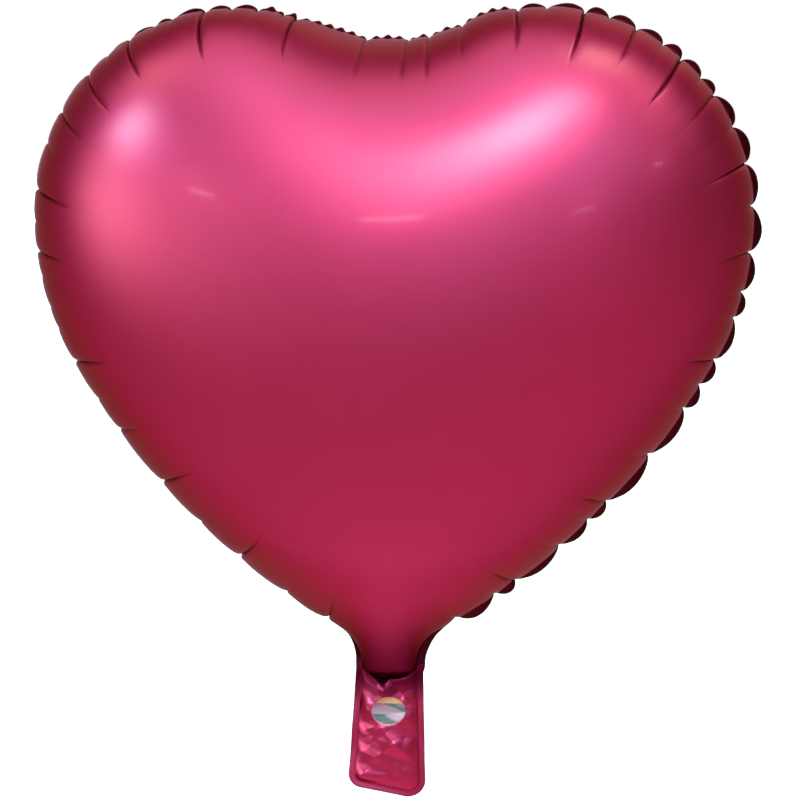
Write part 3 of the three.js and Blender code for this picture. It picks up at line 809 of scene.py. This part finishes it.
frontFilmGrid = valveGrid(valve, (-filmHalf, mouthZ), (filmHalf, filmTop), frontFilmDepth, lipEdge)
frontFilm = filmPiece("valveFrontFilm", frontFilmGrid, valve["thickness"], wraps=False, turn=1)
dress(frontFilm, clearFilm, "clear_film", "neck", "valve_front_film", "valve_weld_left", "valve_weld_right")
backFilmGrid = valveGrid(valve, (-filmHalf, mouthZ), (filmHalf, filmTop), tongueDepth, tongueEnd)
backFilm = filmPiece("valveBackFilm", backFilmGrid, valve["thickness"], wraps=False, turn=-1)
dress(backFilm, clearFilm, "clear_film", "neck", "valve_back_film")
filmTop - float(tongueEnd(0))


def sleeveParting(x):
    # Half the distance between the sleeve's films: a gap at their edges and a parabola on it.
    return valve["sleeveGap"] + valve["sleeveOpen"] * (1 - (x / filmHalf) ** 2)


# The sleeve's free part inside the envelope, its two films parted a little in the middle.
sleevePieces = [
    ("sleeveFrontFilm", -1, ("sleeve_front_film", "sleeve_weld_left", "sleeve_weld_right")),
    ("sleeveBackFilm", 1, ("sleeve_back_film",)),
]
for name, side, nodes in sleevePieces:
    grid = valveGrid(valve, (-filmHalf, sleeveBox[0].z), (filmHalf, sleeveBox[1].z),
                     lambda x, z: side * sleeveParting(x))
    sleeve = filmPiece(name, grid, valve["thickness"], wraps=False, turn=-side)
    dress(sleeve, clearFilm, "clear_film", "sleeve", *nodes)

for node, material in (("valve_release_coat", orangeInk), ("valve_tack_weld", clearFilm)):
    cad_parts[node].data.materials.clear()
    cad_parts[node].data.materials.append(material)
print("valve made")

# Floor, backdrop, lights and camera. A light is placed by the way it lies from the heart's middle:
# degrees to the right of the front and degrees up, with its radiance.
studio = {
    "floorDrop": 0.30, "floorSize": 60, "floorColour": (0.90, 0.90, 0.90, 1), "white": 1.0, "dim": 0.42,
    "azimuth": 8, "elevation": 5, "distance": 1.75, "lens": 150, "aimRight": 5.4 * mm,
}
lamps = [
    # name, right, up, distance, width, height, radiance, colour
    ("stripMiddle", -5, 22, 1.6, 0.22, 0.035, 15.0, (1.0, 0.9, 1.0)),
    ("stripLeft", -35, 21, 1.6, 0.14, 0.035, 12.0, (1.0, 0.9, 1.0)),
    ("stripRight", 30, 15, 1.6, 0.14, 0.03, 7.0, (1.0, 0.9, 1.0)),
    ("stripFar", 55, 24, 1.6, 0.10, 0.04, 8.0, (1.0, 0.9, 1.0)),
]
glows = [
    # soft patches of light round the balloon: right, up, spread in degrees, colour times radiance
    (-10, -60, 60, (0.92, 0.68, 0.9)), (0, -86, 30, (0.3, 0.25, 0.35)), (70, -30, 34, (0.25, 0.04, 0.16)),
    (-95, -35, 34, (0.2, 0.05, 0.1)), (36, -2, 20, (0.32, 0.3, 0.5)), (170, -35, 40, (0.3, 0.3, 0.35)),
    (-8, 30, 30, (1.3, 2.4, 2.8)), (-18, 66, 20, (1.8, 3.8, 4.0)), (-2, 32, 9, (3.5, 8.0, 7.0)),
    (6, 43, 9, (10.0, 30.0, 19.0)), (20, 50, 8, (6.0, 14.0, 11.0)), (-60, 31, 8, (6.0, 26.0, 22.0)),
    (-63, 8, 15, (3.2, 7.0, 5.4)), (-42, 8, 18, (1.0, 2.2, 2.0)), (66, 50, 18, (2.0, 3.2, 3.0)),
    (66, 71, 10, (3.2, 10.0, 5.0)), (-74, 52, 13, (2.2, 4.6, 3.0)), (-110, 78, 14, (1.1, 1.8, 1.5)),
    (30, 30, 16, (0.9, 2.4, 2.9)), (8, 8, 14, (0.2, 0.7, 0.9)), (165, 38, 26, (0.8, 1.0, 1.2)),
    (-150, 15, 22, (0.35, 0.45, 0.55)), (-5, 22, 5, (0.5, 1.8, 2.0)), (-35, 21, 5, (0.5, 1.6, 1.6)),
    (30, 15, 5, (0.2, 0.6, 0.8)), (55, 24, 6, (0.4, 1.0, 1.2)),
]

floorZ = cadBounds[0].z - studio["floorDrop"]
half = studio["floorSize"] / 2
floor = meshFromArrays("floor", np.array([[-half, -half, floorZ], [half, -half, floorZ],
                                          [half, half, floorZ], [-half, half, floorZ]]), [[0, 1, 2, 3]])
paint = bpy.data.materials.new("floorPaint")
Graph(paint).surface({"Base Color": studio["floorColour"], "Roughness": 0.9, "Specular IOR Level": 0.2})
floor.data.materials.append(paint)
floor.visible_glossy = False

middle = (cadBounds[0] + cadBounds[1]) / 2


def wayTo(right, up):
    # Unit vector from the heart towards a place given in degrees right of the front and up.
    right, up = math.radians(right), math.radians(up)
    return Vector((math.sin(right) * math.cos(up), -math.cos(right) * math.cos(up), math.sin(up)))


for name, right, up, distance, width, tall, radiance, colour in lamps:
    lamp = bpy.data.lights.new(name, "AREA")
    lamp.shape = "RECTANGLE"
    lamp.size, lamp.size_y, lamp.color = width, tall, colour
    lamp.energy = radiance * math.pi * width * tall  # a flat lamp gives its power over pi and its area
    holder = bpy.data.objects.new(name, lamp)
    holder.location = middle + wayTo(right, up) * distance
    holder.rotation_euler = (-wayTo(right, up)).to_track_quat("-Z", "Y").to_euler()
    holder.visible_camera = False
    bpy.context.scene.collection.objects.link(holder)

# The backdrop is white to the camera and to matt surfaces. Reflections leave the floor out and see
# a dim backdrop with the soft glows in it: each fades with the cosine of the angle from its middle,
# as a bell curve.
world = bpy.data.worlds.new("studio")
bpy.context.scene.world = world
sky = Graph(world)
way = sky.node("ShaderNodeTexCoord", output="Generated")
light = (studio["dim"],) * 3
for right, up, spread, colour in glows:
    facing = sky.node("ShaderNodeVectorMath", {"operation": "DOT_PRODUCT"}, {0: way, 1: wayTo(right, up)},
                      "Value")
    sharpness = 1 / (1 - math.cos(math.radians(spread)))
    bell = sky.node("ShaderNodeMath", {"operation": "EXPONENT"}, {0: (facing - 1) * sharpness})
    glow = sky.node("ShaderNodeVectorMath", {"operation": "SCALE"}, {0: colour, "Scale": bell})
    light = sky.node("ShaderNodeVectorMath", {"operation": "ADD"}, {0: light, 1: glow})
seen = sky.node("ShaderNodeLightPath", output="Is Camera Ray")
diffuse = sky.node("ShaderNodeLightPath", output="Is Diffuse Ray")
backdrop = sky.mixColour(sky.maximum(seen, diffuse), light, (studio["white"],) * 3 + (1,))
background = sky.node("ShaderNodeBackground", {}, {"Color": backdrop})
sky.node("ShaderNodeOutputWorld", {}, {"Surface": background})
bpy.context.scene.view_settings.view_transform = "Standard"

away = wayTo(studio["azimuth"], studio["elevation"])
camera = bpy.data.objects.new("camera", bpy.data.cameras.new("camera"))
camera.data.lens = studio["lens"]
aim = middle + wayTo(studio["azimuth"] + 90, 0) * studio["aimRight"]
camera.location = aim + away * studio["distance"]
camera.rotation_euler = (-away).to_track_quat("-Z", "Y").to_euler()
bpy.context.scene.collection.objects.link(camera)
bpy.context.scene.camera = camera
print("studio set")
